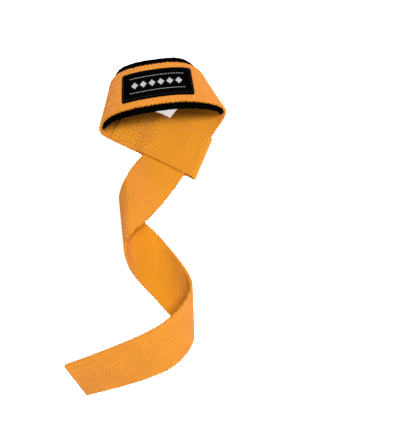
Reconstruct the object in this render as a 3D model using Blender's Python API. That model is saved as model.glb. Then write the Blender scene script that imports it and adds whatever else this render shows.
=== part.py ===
"""Weightlifting strap, lying on a flat surface.

One woven webbing strip is folded back and stitched into a small flat eye at
its start. Its long end passes through that eye, which makes the wrist loop,
and then winds down the surface in a loose helix to a slanted cut end. A foam
pad lies under the wrist part of the loop, and a sewn patch lies on top of it.

Units are metres, +Z is up, and the strip's long axis runs along Y.
"""
import math

import bmesh
import bpy
import numpy as np
from mathutils import Vector

# Webbing
webbing_width = 0.038
webbing_thickness = 0.0022
webbing_edge_chamfer = 0.0006
layer_gap = 0.0004
station_step = 0.0045
end_step = 0.0012
skew_passes = 8

# Where the strip crosses itself, and where it folds back
far_layer_heading = math.radians(153.2)
passing_heading = math.radians(235.9)
crossing_reach = 0.0230
fold_reach = 0.0216
fold_skew = math.radians(5)
flat_before_turn = 0.0440
fold_segments = 8

# Stitched flap, measured along the far layer from the crossing
flap_end_reach = 0.0550
flap_seated_from = 0.0320

# Wrist pad
pad_thickness = 0.0032
pad_near_overhang = 0.0045
pad_far_overhang = 0.0068
pad_far_flare = 0.0022
pad_edge_chamfer = 0.0011
pad_gap = 0.00055
pad_tip_share = 0.42
pad_far_edge_power = 24
pad_near_edge_power = 4

# Patch on the wrist part
patch_length = 0.0562
patch_width = 0.0265
patch_thickness = 0.0010
patch_edge_chamfer = 0.0003
patch_gap = 0.0003
patch_corner_share = 0.06
patch_near_shift = 0.0004

# Heights of the three layers that lie on each other at the crossing
layer_pitch = webbing_thickness + layer_gap
far_height = webbing_thickness / 2
passing_height = far_height + layer_pitch
flap_height = passing_height + layer_pitch

# The wrist loop, from the far layer to the crossing. x, y and height are
# shares of webbing_width from the crossing, the ruling is the straight line
# across the strip, pointing to its far edge.
LOOP_ROWS = (
    # name, x, y, height, ruling bearing, ruling slope
    ("left turn low", -1.42, 0.70, 0.09, 67, -3),
    ("left turn side", -1.53, 0.78, 0.45, 79, -8),
    ("left turn high", -1.40, 0.86, 0.73, 84, -8),
    ("wrist part left", -1.07, 0.92, 0.97, 89, -8),
    ("wrist part middle", -0.44, 0.995, 1.12, 94, -9),
    ("wrist part right", 0.18, 1.07, 1.07, 102, -10),
    ("right turn high", 0.56, 1.085, 0.88, 112, -10),
    ("right turn side", 0.79, 1.045, 0.53, 121, -10),
    ("right turn low", 0.66, 0.88, 0.22, 130, -6),
)
# The long end, from the crossing to its cut end, in the same terms.
TAIL_ROWS = (
    # name, x, y, height, ruling bearing, ruling slope
    ("lift from the eye", -0.59, -0.91, 0.26, 116, -6),
    ("first turn high", -0.80, -1.26, 0.54, 104, -13),
    ("first turn top", -0.95, -1.50, 0.69, 99, -15),
    ("first turn side", -1.10, -1.80, 0.42, 98, -9),
    ("first turn low", -1.02, -2.05, 0.13, 97, -2),
    ("floor start", -0.74, -2.35, 0.03, 97, 0),
    ("floor middle", -0.40, -2.68, 0.03, 96, 0),
    ("floor end", -0.12, -2.98, 0.06, 95, 2),
    ("second turn low", 0.19, -3.32, 0.23, 93, 13),
    ("second turn side", 0.36, -3.66, 0.52, 92, 25),
    ("second turn high", 0.27, -4.00, 0.79, 92, 32),
    ("second turn top", -0.02, -4.34, 0.91, 94, 38),
    ("run down", -0.63, -4.65, 0.84, 100, 44),
    ("run out", -1.28, -4.86, 0.65, 107, 49),
    ("cut end", -1.92, -5.04, 0.45, 123, 51),
)
# Where the pad and the patch sit along the wrist loop, as row names with the
# share of the way to the next row.
PAD_FROM = ("left turn side", -0.60)
PAD_TO = ("right turn side", 0.60)
PATCH_MIDDLE = ("wrist part middle", 0.08)


def direction(bearing, slope=0.0):
    """Unit vector at a bearing from +X towards +Y, and a slope above the floor."""
    level = math.cos(slope)
    return np.array([math.cos(bearing) * level, math.sin(bearing) * level, math.sin(slope)])


def spline_slopes(keys, values, start_slope, end_slope):
    """Slopes at each key of the smooth cubic through the values; a None end is free."""
    count = len(keys)
    gaps = np.diff(keys)
    system = np.zeros((count, count))
    wanted = np.zeros_like(values)
    for i in range(1, count - 1):
        before = gaps[i - 1]
        after = gaps[i]
        system[i, i - 1] = after
        system[i, i] = 2 * (before + after)
        system[i, i + 1] = before
        rise_before = (values[i] - values[i - 1]) / before
        rise_after = (values[i + 1] - values[i]) / after
        wanted[i] = 3 * (after * rise_before + before * rise_after)
    for end, inner, slope in ((0, 1, start_slope), (count - 1, count - 2, end_slope)):
        system[end, end] = 1 if slope is not None else 2
        if slope is not None:
            wanted[end] = slope
        else:
            system[end, inner] = 1
            wanted[end] = 3 * (values[inner] - values[end]) / (keys[inner] - keys[end])
    return np.linalg.solve(system, wanted)


def spline(keys, values, places, start_slope=None, end_slope=None):
    """Smooth cubic through the values, read at the given places."""
    slopes = spline_slopes(keys, values, start_slope, end_slope)
    span = np.clip(np.searchsorted(keys, places) - 1, 0, len(keys) - 2)
    gap = (keys[span + 1] - keys[span])[:, None]
    share = (places - keys[span])[:, None] / gap
    first = (1 + 2 * share) * (1 - share) ** 2
    second = share ** 2 * (3 - 2 * share)
    leaving = share * (1 - share) ** 2 * gap
    arriving = share ** 2 * (share - 1) * gap
    return (first * values[span] + second * values[span + 1]
            + leaving * slopes[span] + arriving * slopes[span + 1])


def unit_rows(vectors):
    """Each row of an array of vectors, scaled to length 1."""
    return vectors / np.linalg.norm(vectors, axis=1)[:, None]


def row_points(rows):
    """Points and rulings of a table's rows."""
    points = [np.array([x, y, height]) * webbing_width for _, x, y, height, _, _ in rows]
    rulings = [direction(math.radians(bearing), math.radians(slope))
               for _, _, _, _, bearing, slope in rows]
    return points, rulings


def smooth_run(points, rulings, start_heading, end_heading):
    """Stations along a smooth run, with the places of the rows along it."""
    points = np.array(points)
    rulings = np.array(rulings)
    keys = np.concatenate([[0.0], np.cumsum(np.linalg.norm(np.diff(points, axis=0), axis=1))])
    count = max(int(round(keys[-1] / station_step)), 4)
    places = np.linspace(0.0, keys[-1], count + 1)
    line = spline(keys, points, places, start_heading, end_heading)
    rulings = unit_rows(spline(keys, rulings, places))
    return clear_of_floor(line, rulings), rulings, places, keys


def clear_of_floor(line, rulings):
    """The line, raised where an edge of the strip would dip under the floor."""
    lowest_edge = line[:, 2] - np.abs(rulings[:, 2]) * webbing_width / 2
    raised = line.copy()
    raised[:, 2] += np.maximum(webbing_thickness / 2 - lowest_edge, 0.0)
    return raised


def flat_run(start, end, start_ruling, end_ruling, steps):
    """Stations along a straight level run whose ruling swings evenly."""
    shares = np.linspace(0.0, 1.0, steps + 1)[:, None]
    line = start + (end - start) * shares
    return line, unit_rows(start_ruling + (end_ruling - start_ruling) * shares)


def far_layer():
    """The bottom layer, from the fold to where the loop lifts off."""
    heading = direction(far_layer_heading)
    height = np.array([0.0, 0.0, far_height])
    square = direction(far_layer_heading - math.pi / 2)
    at_fold = direction(far_layer_heading - math.pi / 2 + fold_skew)
    return flat_run(height - heading * fold_reach, height + heading * flat_before_turn,
                    at_fold, square, 15)


def wrist_loop():
    """The wrist loop, off the far layer, round the wrist and down to the crossing."""
    points, rulings = row_points(LOOP_ROWS)
    far_line, far_rulings = far_layer()
    heading_in = direction(far_layer_heading)
    heading_out = direction(passing_heading)
    arrival = np.array([0.0, 0.0, passing_height]) - heading_out * crossing_reach
    points = [far_line[-1]] + points + [arrival]
    rulings = [far_rulings[-1]] + rulings + [direction(passing_heading - math.pi / 2)]
    return smooth_run(points, rulings, heading_in, heading_out)


def crossing():
    """The level stretch inside the eye."""
    heading = direction(passing_heading)
    height = np.array([0.0, 0.0, passing_height])
    square = direction(passing_heading - math.pi / 2)
    leaving = direction(passing_heading - math.pi / 2 - math.radians(14))
    return flat_run(height - heading * crossing_reach, height + heading * crossing_reach,
                    square, leaving, 8)


def long_end():
    """The long end, from the eye to its cut end."""
    points, rulings = row_points(TAIL_ROWS)
    cross_line, cross_rulings = crossing()
    return smooth_run([cross_line[-1]] + points, [cross_rulings[-1]] + rulings,
                      direction(passing_heading), None)


def ease(share):
    """Smooth step from 0 to 1."""
    share = np.clip(share, 0.0, 1.0)
    return share * share * (3 - 2 * share)


def flap():
    """The folded-back end, from its cut edge to the fold, riding on the layers below."""
    far_line, far_rulings = far_layer()
    loop_line, loop_rulings, _, _ = wrist_loop()
    below = np.concatenate([far_line, loop_line[1:]])
    rulings = np.concatenate([far_rulings, loop_rulings[1:]])
    steps = np.linalg.norm(np.diff(below, axis=0), axis=1)
    reach = np.concatenate([[0.0], np.cumsum(steps)]) - fold_reach
    upward, _ = strip_frame(below, rulings)
    kept = reach <= flap_end_reach
    seated = ease((reach[kept] - crossing_reach) / (flap_seated_from - crossing_reach))
    lift = layer_pitch * (2 - seated)
    line = below[kept] + upward[kept] * lift[:, None]
    return line[::-1], rulings[kept][::-1]


def fold():
    """The half turn that joins the flap to the far layer."""
    heading = direction(far_layer_heading)
    at_fold = direction(far_layer_heading - math.pi / 2 + fold_skew)
    radius = (flap_height - far_height) / 2
    centre = np.array([0.0, 0.0, far_height + radius]) - heading * fold_reach
    angles = np.linspace(0.0, math.pi, fold_segments + 1)[1:-1]
    line = [centre - heading * radius * math.sin(angle)
            + np.array([0.0, 0.0, radius * math.cos(angle)]) for angle in angles]
    return np.array(line), np.array([at_fold] * len(line))


def whole_strip():
    """Line and rulings of the whole strip, from the flap's cut edge to the cut end."""
    pieces = [flap(), fold(), far_layer()]
    pieces.append(tuple(part[1:] for part in wrist_loop()[:2]))
    pieces.append(tuple(part[1:] for part in crossing()))
    pieces.append(tuple(part[1:] for part in long_end()[:2]))
    line = np.concatenate([piece[0] for piece in pieces])
    rulings = np.concatenate([piece[1] for piece in pieces])
    return line, rulings


def evened(values, passes):
    """Values along a strip, each averaged with its neighbours."""
    for _ in range(passes):
        padded = np.concatenate([values[:1], values, values[-1:]])
        values = (padded[:-2] + 2 * padded[1:-1] + padded[2:]) / 4
    return values


def strip_frame(line, rulings):
    """Surface normals along a strip, and how much longer its rulings are than its width."""
    tangents = np.empty_like(line)
    tangents[1:-1] = line[2:] - line[:-2]
    tangents[0] = line[1] - line[0]
    tangents[-1] = line[-1] - line[-2]
    tangents = unit_rows(tangents)
    skew = np.sum(tangents * rulings, axis=1)
    stretch = evened(1 / np.sqrt(1 - skew ** 2), skew_passes)
    normals = unit_rows(np.cross(rulings, tangents))
    return normals, stretch


def chamfered_profile(half_width, half_thickness, chamfer):
    """Corners of a strip's section, across and through, going round once."""
    inner = half_width - chamfer
    low = half_thickness - chamfer
    return ((half_width, -low), (half_width, low), (inner, half_thickness),
            (-inner, half_thickness), (-half_width, low), (-half_width, -low),
            (-inner, -half_thickness), (inner, -half_thickness))


def loft(name, sections, material):
    """Closed solid through rings of points, with flat ends."""
    mesh_maker = bmesh.new()
    rings = [[mesh_maker.verts.new(Vector(point)) for point in section] for section in sections]
    for ring, following in zip(rings[:-1], rings[1:]):
        for i, corner in enumerate(ring):
            j = (i + 1) % len(ring)
            mesh_maker.faces.new((corner, ring[j], following[j], following[i]))
    mesh_maker.faces.new(rings[0][::-1])
    mesh_maker.faces.new(rings[-1])
    bmesh.ops.recalc_face_normals(mesh_maker, faces=mesh_maker.faces)
    bmesh.ops.triangulate(mesh_maker, faces=mesh_maker.faces)
    mesh = bpy.data.meshes.new(name)
    mesh_maker.to_mesh(mesh)
    mesh_maker.free()
    mesh.materials.append(material)
    solid = bpy.data.objects.new(name, mesh)
    bpy.context.scene.collection.objects.link(solid)
    return solid


def ribbon_sections(line, across, normals, near_sides, far_sides, thickness, chamfer,
                    offset=0.0):
    """Section rings of a band that follows a strip, offset towards the loop's inside."""
    sections = []
    for i, point in enumerate(line):
        half_width = (far_sides[i] + near_sides[i]) / 2
        shift = (far_sides[i] - near_sides[i]) / 2
        middle = point + normals[i] * offset + across[i] * shift
        profile = chamfered_profile(half_width, thickness / 2, chamfer)
        sections.append([middle + across[i] * u + normals[i] * v for u, v in profile])
    return sections


def make_material(name, colour, roughness):
    """Principled material with one plain colour."""
    material = bpy.data.materials.new(name)
    material.use_nodes = True
    shader = material.node_tree.nodes["Principled BSDF"]
    shader.inputs["Base Color"].default_value = (*colour, 1.0)
    shader.inputs["Roughness"].default_value = roughness
    shader.inputs["Metallic"].default_value = 0.0
    return material


def wrist_stretch(row, share):
    """Place along the wrist loop of a named row and a share of the way to the next."""
    _, _, _, keys = wrist_loop()
    names = [entry[0] for entry in LOOP_ROWS]
    i = names.index(row) + 1
    neighbour = i + 1 if share >= 0 else i - 1
    return keys[i] + abs(share) * (keys[neighbour] - keys[i])


def read_between(places, values, wanted):
    """Rows of values read at the wanted places, straight between the stations."""
    return np.stack([np.interp(wanted, places, column) for column in values.T], axis=1)


def loop_stations(start, end):
    """The wrist loop between two places: stations, line, across and normals."""
    line, rulings, places, _ = wrist_loop()
    normals, stretch = strip_frame(line, rulings)
    inner = places[(places > start + end_step * 1.5) & (places < end - end_step * 1.5)]
    wanted = np.concatenate([[start, start + end_step], inner, [end - end_step, end]])
    line = read_between(places, line, wanted)
    across = read_between(places, rulings * stretch[:, None], wanted)
    return wanted, line, across, unit_rows(read_between(places, normals, wanted))


def squared(line, across):
    """The way across, turned to stand square to the line on the strip's surface."""
    tangents = unit_rows(np.gradient(line, axis=0))
    return unit_rows(across - tangents * np.sum(across * tangents, axis=1)[:, None])


def webbing_strap():
    """The webbing, one strip from the stitched flap to the cut end."""
    line, rulings = whole_strip()
    normals, stretch = strip_frame(line, rulings)
    sides = [webbing_width / 2] * len(line)
    sections = ribbon_sections(line, rulings * stretch[:, None], normals, sides, sides,
                               webbing_thickness, webbing_edge_chamfer)
    material = make_material("orange webbing", (0.85, 0.32, 0.035), 0.85)
    return loft("webbing_strap", sections, material)


def wrist_pad():
    """The foam pad inside the loop, its near edge tapered and its far corners rounded."""
    stations, line, across, normals = loop_stations(wrist_stretch(*PAD_FROM),
                                                    wrist_stretch(*PAD_TO))
    shares = np.interp(stations, stations[[0, -1]], [-1.0, 1.0])
    near_full = webbing_width / 2 + pad_near_overhang
    far_full = webbing_width / 2 + pad_far_overhang + pad_far_flare * shares ** 2
    tip = webbing_width * pad_tip_share
    near_sides = tip + (near_full - tip) * np.sqrt(1 - shares ** pad_near_edge_power)
    far_sides = tip + (far_full - tip) * np.sqrt(1 - shares ** pad_far_edge_power)
    offset = webbing_thickness / 2 + pad_gap + pad_thickness / 2
    sections = ribbon_sections(line, across, normals, near_sides, far_sides, pad_thickness,
                               pad_edge_chamfer, offset)
    material = make_material("black foam", (0.012, 0.012, 0.013), 0.7)
    return loft("wrist_pad", sections, material)


def label_patch():
    """The sewn patch on the outside of the wrist part, cut square to the webbing."""
    middle = wrist_stretch(*PATCH_MIDDLE)
    _, line, across, normals = loop_stations(middle - patch_length / 2,
                                             middle + patch_length / 2)
    near_sides = np.full(len(line), patch_width / 2 + patch_near_shift)
    far_sides = np.full(len(line), patch_width / 2 - patch_near_shift)
    corner = patch_width / 2 * patch_corner_share
    for sides in (near_sides, far_sides):
        sides[0] -= corner
        sides[-1] -= corner
    offset = -(webbing_thickness / 2 + patch_gap + patch_thickness / 2)
    sections = ribbon_sections(line, squared(line, across), normals, near_sides, far_sides,
                               patch_thickness, patch_edge_chamfer, offset)
    material = make_material("black patch", (0.015, 0.015, 0.016), 0.6)
    return loft("label_patch", sections, material)


def seat_on_floor(solids):
    """Moves the solids together, so that they rest on Z 0 around the origin."""
    corners = np.array([vertex.co[:] for solid in solids for vertex in solid.data.vertices])
    low = corners.min(axis=0)
    high = corners.max(axis=0)
    shift = Vector((-(low[0] + high[0]) / 2, -(low[1] + high[1]) / 2, -low[2]))
    for solid in solids:
        solid.location = shift


def main():
    """Clears the scene and builds every piece."""
    for old in list(bpy.data.objects):
        bpy.data.objects.remove(old, do_unlink=True)
    solids = [webbing_strap(), wrist_pad(), label_patch()]
    seat_on_floor(solids)
    bpy.context.view_layer.update()


main()
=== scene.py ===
"""Weightlifting strap, dressed for a close look.

The webbing, the foam pad and the sewn patch are drawn finely over the packed
solids, with their stitching, on a pale floor in soft light. Lengths are in
metres, +Z is up, and the strip runs from its stitched flap to its cut end.
"""
import math

import bmesh
import bpy
import numpy as np
from bpy.props import FloatProperty, FloatVectorProperty, PointerProperty
from bpy.types import Operator, Panel, PropertyGroup
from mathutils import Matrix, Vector


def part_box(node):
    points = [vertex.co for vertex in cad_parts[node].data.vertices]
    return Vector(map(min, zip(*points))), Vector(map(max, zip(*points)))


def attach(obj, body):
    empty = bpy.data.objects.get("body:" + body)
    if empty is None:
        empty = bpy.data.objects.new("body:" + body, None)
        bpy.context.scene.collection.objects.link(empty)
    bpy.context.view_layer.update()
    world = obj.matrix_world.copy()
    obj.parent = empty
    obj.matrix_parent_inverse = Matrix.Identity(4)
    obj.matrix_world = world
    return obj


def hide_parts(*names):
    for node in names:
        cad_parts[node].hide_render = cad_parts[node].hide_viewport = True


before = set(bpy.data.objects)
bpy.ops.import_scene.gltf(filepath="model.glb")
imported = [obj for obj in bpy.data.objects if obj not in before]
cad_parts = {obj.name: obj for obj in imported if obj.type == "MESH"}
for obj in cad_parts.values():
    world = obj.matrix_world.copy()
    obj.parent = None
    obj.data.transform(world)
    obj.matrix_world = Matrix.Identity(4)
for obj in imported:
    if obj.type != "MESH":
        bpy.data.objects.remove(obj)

bl_info = {
    "name": "Weightlifting Strap",
    "version": (1, 0, 0),
    "blender": (4, 5, 0),
    "location": "3D View > Sidebar > Strap",
    "description": "Builds a webbing lifting strap with its pad, its patch and its stitching",
    "category": "Mesh",
}

WEBBING = "webbing"
PAD = "pad"
PATCH = "patch"

# How the strip is laid, as the packed solids have it
LAID_WIDTH = 0.038
LAID_THICKNESS = 0.0022
LAYER_GAP = 0.0004
STATION_STEP = 0.0045
SKEW_PASSES = 8
EDGE_CHAMFER = 0.0006
FAR_LAYER_HEADING = math.radians(153.2)
PASSING_HEADING = math.radians(235.9)
CROSSING_REACH = 0.0230
FOLD_REACH = 0.0216
FOLD_SKEW = math.radians(5)
FLAT_BEFORE_TURN = 0.0440
FOLD_SEGMENTS = 8
FLAP_END_REACH = 0.0550
FLAP_SEATED_FROM = 0.0320
PAD_GAP = 0.00055
PATCH_GAP = 0.0003
LAYER_PITCH = LAID_THICKNESS + LAYER_GAP
FAR_HEIGHT = LAID_THICKNESS / 2
PASSING_HEIGHT = FAR_HEIGHT + LAYER_PITCH
FLAP_HEIGHT = PASSING_HEIGHT + LAYER_PITCH

# The wrist loop and the long end, as shares of the width from the crossing,
# with the bearing and the slope of the line across the strip.
LOOP_ROWS = (
    # name, x, y, height, ruling bearing, ruling slope
    ("left turn low", -1.42, 0.70, 0.09, 67, -3),
    ("left turn side", -1.53, 0.78, 0.45, 79, -8),
    ("left turn high", -1.40, 0.86, 0.73, 84, -8),
    ("wrist part left", -1.07, 0.92, 0.97, 89, -8),
    ("wrist part middle", -0.44, 0.995, 1.12, 94, -9),
    ("wrist part right", 0.18, 1.07, 1.07, 102, -10),
    ("right turn high", 0.56, 1.085, 0.88, 112, -10),
    ("right turn side", 0.79, 1.045, 0.53, 121, -10),
    ("right turn low", 0.66, 0.88, 0.22, 130, -6),
)
TAIL_ROWS = (
    # name, x, y, height, ruling bearing, ruling slope
    ("lift from the eye", -0.59, -0.91, 0.26, 116, -6),
    ("first turn high", -0.80, -1.26, 0.54, 104, -13),
    ("first turn top", -0.95, -1.50, 0.69, 99, -15),
    ("first turn side", -1.10, -1.80, 0.42, 98, -9),
    ("first turn low", -1.02, -2.05, 0.13, 97, -2),
    ("floor start", -0.74, -2.35, 0.03, 97, 0),
    ("floor middle", -0.40, -2.68, 0.03, 96, 0),
    ("floor end", -0.12, -2.98, 0.06, 95, 2),
    ("second turn low", 0.19, -3.32, 0.23, 93, 13),
    ("second turn side", 0.36, -3.66, 0.52, 92, 25),
    ("second turn high", 0.27, -4.00, 0.79, 92, 32),
    ("second turn top", -0.02, -4.34, 0.91, 94, 38),
    ("run down", -0.63, -4.65, 0.84, 100, 44),
    ("run out", -1.28, -4.86, 0.65, 107, 49),
    ("cut end", -1.92, -5.04, 0.45, 123, 51),
)
PAD_FROM = ("left turn side", -0.60)
PAD_TO = ("right turn side", 0.60)
PATCH_MIDDLE = ("wrist part middle", 0.08)
PATCH_LAID_LENGTH = 0.0562
PATCH_SHIFT = -0.0004

# Widths of the heat-sealed line at the flap's end, near edge and far edge, and at the cut end;
# towards the far edge the flap's mark widens into a painted shadow of its cut edge
FLAP_END_SEAR_AND_SHADOW = (0.0006, 0.0030)
CUT_END_MARK = 0.0010

# Rounding of the pieces' long edges, and the gap under stitches that lie on a face
WEBBING_ROUNDING = 0.0009
PATCH_ROUNDING = 0.0004
THREAD_CLEARANCE = 0.00003

# Seams of the flap, as reaches from the crossing, and half the width of their box
FLAP_NEAR_SEAM = 0.0212
FLAP_MIDDLE_SEAM = 0.0330
FLAP_FAR_SEAM = 0.0500
FLAP_SEAM_HALF_WIDTH = 0.0152

# Seam of the pad: in from the webbing's edges, in from the tips, and its cut corners
PAD_SEAM_INSET = 0.003
PAD_SEAM_END = 0.0095
PAD_SEAM_CORNER = 0.006
PAD_SEAM_CORNER_SHARE = 0.75

# Outline of the pad: how sharply its corners turn, and how its tips thin out
PAD_NEAR_POWER = 4
PAD_NEAR_SHAPE = 0.9
PAD_FAR_POWER = 24
PAD_TIP_SHARE = 0.16
PAD_TIP_THINNING = 0.75

# Border seam of the patch and the row of diamonds between its two lines
PATCH_SEAM_INSET = 0.0014
PATCH_STITCH = 0.0022
DIAMONDS = 6
DIAMONDS_INSET = 0.0075
DIAMOND_REACH = 0.0036
DIAMOND_STITCH_PITCH = 0.00040
LINE_INSET = 0.0065
LINE_SIDE = 0.0068
LINE_STITCH = 0.0021

# Where the camera looks, on the floor
VIEW_TARGET = (0.04524, 0.00444, 0.0)

# How finely the pieces are drawn
WEBBING_STEP = 0.00025
PAD_STEP = 0.0005
PATCH_STEP = 0.0004

# One whole turn, for waves and rings
TAU = 2 * math.pi


def direction(bearing, slope=0.0):
    """Unit vector at a bearing from +X towards +Y, and a slope above the floor."""
    level = math.cos(slope)
    return np.array([math.cos(bearing) * level, math.sin(bearing) * level, math.sin(slope)])


def unit_rows(vectors):
    """Each row of an array of vectors, scaled to length 1."""
    return vectors / np.linalg.norm(vectors, axis=1)[:, None]


def chord_lengths(points):
    """How far each point is along the polyline through all of them."""
    steps = np.linalg.norm(np.diff(points, axis=0), axis=1)
    return np.concatenate([[0.0], np.cumsum(steps)])


def ease(share):
    """Smooth step from 0 to 1."""
    share = np.clip(share, 0.0, 1.0)
    return share * share * (3 - 2 * share)


def spline_slopes(keys, values, start_slope=None, end_slope=None):
    """Slopes at each key of the smooth cubic through the values; a None end is free."""
    count = len(keys)
    gaps = np.diff(keys)
    system = np.zeros((count, count))
    wanted = np.zeros_like(values)
    for i in range(1, count - 1):
        before = gaps[i - 1]
        after = gaps[i]
        system[i, i - 1] = after
        system[i, i] = 2 * (before + after)
        system[i, i + 1] = before
        rise_before = (values[i] - values[i - 1]) / before
        rise_after = (values[i + 1] - values[i]) / after
        wanted[i] = 3 * (after * rise_before + before * rise_after)
    for end, inner, slope in ((0, 1, start_slope), (count - 1, count - 2, end_slope)):
        system[end, end] = 1 if slope is not None else 2
        if slope is not None:
            wanted[end] = slope
        else:
            system[end, inner] = 1
            wanted[end] = 3 * (values[inner] - values[end]) / (keys[inner] - keys[end])
    return np.linalg.solve(system, wanted)


def cubic(keys, values, slopes, places):
    """The smooth cubic through the values, read at the given places."""
    span = np.clip(np.searchsorted(keys, places) - 1, 0, len(keys) - 2)
    gap = (keys[span + 1] - keys[span])[:, None]
    share = (places - keys[span])[:, None] / gap
    first = (1 + 2 * share) * (1 - share) ** 2
    second = share ** 2 * (3 - 2 * share)
    leaving = share * (1 - share) ** 2 * gap
    arriving = share ** 2 * (share - 1) * gap
    return (first * values[span] + second * values[span + 1]
            + leaving * slopes[span] + arriving * slopes[span + 1])


def row_points(rows):
    """Points and rulings of a table's rows."""
    points = [np.array([x, y, height]) * LAID_WIDTH for _, x, y, height, _, _ in rows]
    rulings = [direction(math.radians(bearing), math.radians(slope))
               for _, _, _, _, bearing, slope in rows]
    return points, rulings


def clear_of_floor(line, rulings):
    """The line, raised where an edge of the strip would dip under the floor."""
    lowest_edge = line[:, 2] - np.abs(rulings[:, 2]) * LAID_WIDTH / 2
    raised = line.copy()
    raised[:, 2] += np.maximum(LAID_THICKNESS / 2 - lowest_edge, 0.0)
    return raised


def smooth_run(points, rulings, start_heading, end_heading):
    """Stations along a smooth run, with the places of the rows along it."""
    points = np.array(points)
    rulings = np.array(rulings)
    keys = chord_lengths(points)
    count = max(int(round(keys[-1] / STATION_STEP)), 4)
    places = np.linspace(0.0, keys[-1], count + 1)
    line = cubic(keys, points, spline_slopes(keys, points, start_heading, end_heading), places)
    rulings = unit_rows(cubic(keys, rulings, spline_slopes(keys, rulings), places))
    return clear_of_floor(line, rulings), rulings, places, keys


def flat_run(start, end, start_ruling, end_ruling, steps):
    """Stations along a straight level run whose ruling swings evenly."""
    shares = np.linspace(0.0, 1.0, steps + 1)[:, None]
    line = start + (end - start) * shares
    return line, unit_rows(start_ruling + (end_ruling - start_ruling) * shares)


def far_layer():
    """The bottom layer, from the fold to where the loop lifts off."""
    heading = direction(FAR_LAYER_HEADING)
    height = np.array([0.0, 0.0, FAR_HEIGHT])
    square = direction(FAR_LAYER_HEADING - math.pi / 2)
    at_fold = direction(FAR_LAYER_HEADING - math.pi / 2 + FOLD_SKEW)
    return flat_run(height - heading * FOLD_REACH, height + heading * FLAT_BEFORE_TURN,
                    at_fold, square, 15)


def wrist_loop():
    """The wrist loop, off the far layer, round the wrist and down to the crossing."""
    points, rulings = row_points(LOOP_ROWS)
    far_line, far_rulings = far_layer()
    heading_out = direction(PASSING_HEADING)
    arrival = np.array([0.0, 0.0, PASSING_HEIGHT]) - heading_out * CROSSING_REACH
    points = [far_line[-1]] + points + [arrival]
    rulings = [far_rulings[-1]] + rulings + [direction(PASSING_HEADING - math.pi / 2)]
    return smooth_run(points, rulings, direction(FAR_LAYER_HEADING), heading_out)


def crossing():
    """The level stretch inside the eye."""
    heading = direction(PASSING_HEADING)
    height = np.array([0.0, 0.0, PASSING_HEIGHT])
    square = direction(PASSING_HEADING - math.pi / 2)
    leaving = direction(PASSING_HEADING - math.pi / 2 - math.radians(14))
    return flat_run(height - heading * CROSSING_REACH, height + heading * CROSSING_REACH,
                    square, leaving, 8)


def long_end():
    """The long end, from the eye to its cut end."""
    points, rulings = row_points(TAIL_ROWS)
    cross_line, cross_rulings = crossing()
    return smooth_run([cross_line[-1]] + points, [cross_rulings[-1]] + rulings,
                      direction(PASSING_HEADING), None)


def flap():
    """The folded-back end, from its cut edge to the fold, riding on the layers below."""
    far_line, far_rulings = far_layer()
    loop_line, loop_rulings, _, _ = wrist_loop()
    below = np.concatenate([far_line, loop_line[1:]])
    rulings = np.concatenate([far_rulings, loop_rulings[1:]])
    reach = chord_lengths(below) - FOLD_REACH
    upward, _ = strip_frame(below, rulings)
    kept = reach <= FLAP_END_REACH
    seated = ease((reach[kept] - CROSSING_REACH) / (FLAP_SEATED_FROM - CROSSING_REACH))
    line = below[kept] + upward[kept] * (LAYER_PITCH * (2 - seated))[:, None]
    return line[::-1], rulings[kept][::-1]


def fold():
    """The half turn that joins the flap to the far layer."""
    heading = direction(FAR_LAYER_HEADING)
    at_fold = direction(FAR_LAYER_HEADING - math.pi / 2 + FOLD_SKEW)
    radius = (FLAP_HEIGHT - FAR_HEIGHT) / 2
    centre = np.array([0.0, 0.0, FAR_HEIGHT + radius]) - heading * FOLD_REACH
    angles = np.linspace(0.0, math.pi, FOLD_SEGMENTS + 1)[1:-1]
    line = [centre - heading * radius * math.sin(angle)
            + np.array([0.0, 0.0, radius * math.cos(angle)]) for angle in angles]
    return np.array(line), np.array([at_fold] * len(line))


def evened(values, passes):
    """Values along a strip, each averaged with its neighbours."""
    for _ in range(passes):
        padded = np.concatenate([values[:1], values, values[-1:]])
        values = (padded[:-2] + 2 * padded[1:-1] + padded[2:]) / 4
    return values


def strip_frame(line, rulings):
    """Surface normals along a strip, and how much longer its rulings are than its width."""
    tangents = np.empty_like(line)
    tangents[1:-1] = line[2:] - line[:-2]
    tangents[0] = line[1] - line[0]
    tangents[-1] = line[-1] - line[-2]
    tangents = unit_rows(tangents)
    skew = np.sum(tangents * rulings, axis=1)
    stretch = evened(1 / np.sqrt(1 - skew ** 2), SKEW_PASSES)
    return unit_rows(np.cross(rulings, tangents)), stretch


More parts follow.
